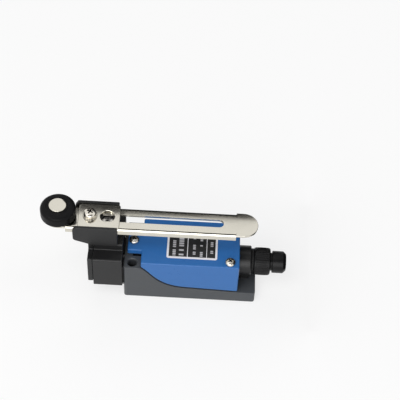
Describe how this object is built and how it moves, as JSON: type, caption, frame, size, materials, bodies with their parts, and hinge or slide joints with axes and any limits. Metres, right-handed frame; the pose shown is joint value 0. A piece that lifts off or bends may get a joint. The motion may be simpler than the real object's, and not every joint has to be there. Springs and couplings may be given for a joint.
{
  "type": "limit switch",
  "caption": "Side rotary limit switch with an adjustable roller lever, a screwed blue front cover, a turning head and a cable gland.",
  "frame": {"origin": "centre of the flat mounting back of the base", "axes": "+X along the body towards the cable gland, +Y across the body, +Z out of the front cover, away from the mounting back"},
  "size_m": [0.1181, 0.028, 0.0504],
  "materials": {
    "cast_base": "dark grey paint on a die casting, satin, fine grain",
    "blue_cover": "blue satin lacquer",
    "rubber_seal": "matt black rubber",
    "label_film": "black printed film with a pale border, no text",
    "plated_screw": "bright nickel-plated screw",
    "nickel_plate": "nickel-plated pressed steel",
    "steel": "plain steel",
    "black_cast": "black paint on a die casting, satin, fine grain",
    "black_plastic": "moulded black nylon",
    "roller_nylon": "turned black nylon",
    "brass": "plain brass",
    "phenolic": "dark phenolic moulding"
  },
  "bodies": {
    "switch_body": {"base_housing": "cast_base", "block_screw_1": "steel", "block_screw_2": "steel", "contact_case": "phenolic", "contact_lid": "phenolic", "contact_spring": "steel", "cover_gasket_far": "rubber_seal", "cover_gasket_near": "rubber_seal", "cover_screw_1": "plated_screw", "cover_screw_2": "plated_screw", "cover_screw_3": "plated_screw", "earth_screw": "brass", "earth_washer": "brass", "front_cover": "blue_cover", "gland_body": "black_plastic", "gland_nut": "black_plastic", "gland_seal": "rubber_seal", "gland_washer": "rubber_seal", "head_end_cap": "black_cast", "head_gasket": "rubber_seal", "head_housing": "black_cast", "head_screw_1": "steel", "head_screw_2": "steel", "head_screw_3": "steel", "head_screw_4": "steel", "label_plate": "label_film", "lever_spring": "steel", "plunger_spring": "steel", "shaft_bush": "brass", "shaft_seal": "rubber_seal", "terminal_1": "brass", "terminal_2": "brass", "terminal_3": "brass", "terminal_4": "brass", "terminal_screw_1": "plated_screw", "terminal_screw_2": "plated_screw", "terminal_screw_3": "plated_screw", "terminal_screw_4": "plated_screw"},
    "turning_lever": {"lever_shaft": "steel", "actuating_cam": "steel", "lever_hub": "black_cast", "shaft_screw": "steel", "clamp_plate": "nickel_plate", "clamp_washer": "nickel_plate", "clamp_screw": "nickel_plate"},
    "sliding_arm": {"lever_arm": "nickel_plate", "roller_pin": "nickel_plate", "roller_washer": "steel"},
    "roller_wheel": {"roller": "roller_nylon"},
    "plunger_rod": {"plunger": "steel"},
    "contact_carrier": {"push_button": "black_plastic", "contact_bridge": "brass"}
  },
  "joints": [
    {"name": "lever_turn", "type": "hinge", "parent": "switch_body", "child": "turning_lever", "pos_m": [-0.0402, 0, 0], "axis": [0, 0, 1], "range_deg": [-75, 75], "stiffness_Nm_per_rad": 0.04, "deforming": ["lever_spring"]},
    {"name": "arm_slide", "type": "slide", "parent": "turning_lever", "child": "sliding_arm", "axis": [-1, 0, 0], "range_m": [-0.0008, 0.0605]},
    {"name": "roller_spin", "type": "hinge", "parent": "sliding_arm", "child": "roller_wheel", "pos_m": [-0.0634, 0, 0.0464], "axis": [0, 0, 1], "continuous": true},
    {"name": "plunger_slide", "type": "slide", "parent": "switch_body", "child": "plunger_rod", "axis": [1, 0, 0], "range_m": [0, 0.0015], "stiffness_N_per_m": 500, "deforming": ["plunger_spring"]},
    {"name": "button_slide", "type": "slide", "parent": "switch_body", "child": "contact_carrier", "axis": [1, 0, 0], "range_m": [0, 0.0015], "deforming": ["contact_spring"]}
  ],
  "couplings": [
    {"joint": "button_slide", "follows": "plunger_slide", "ratio": 1}
  ]
}
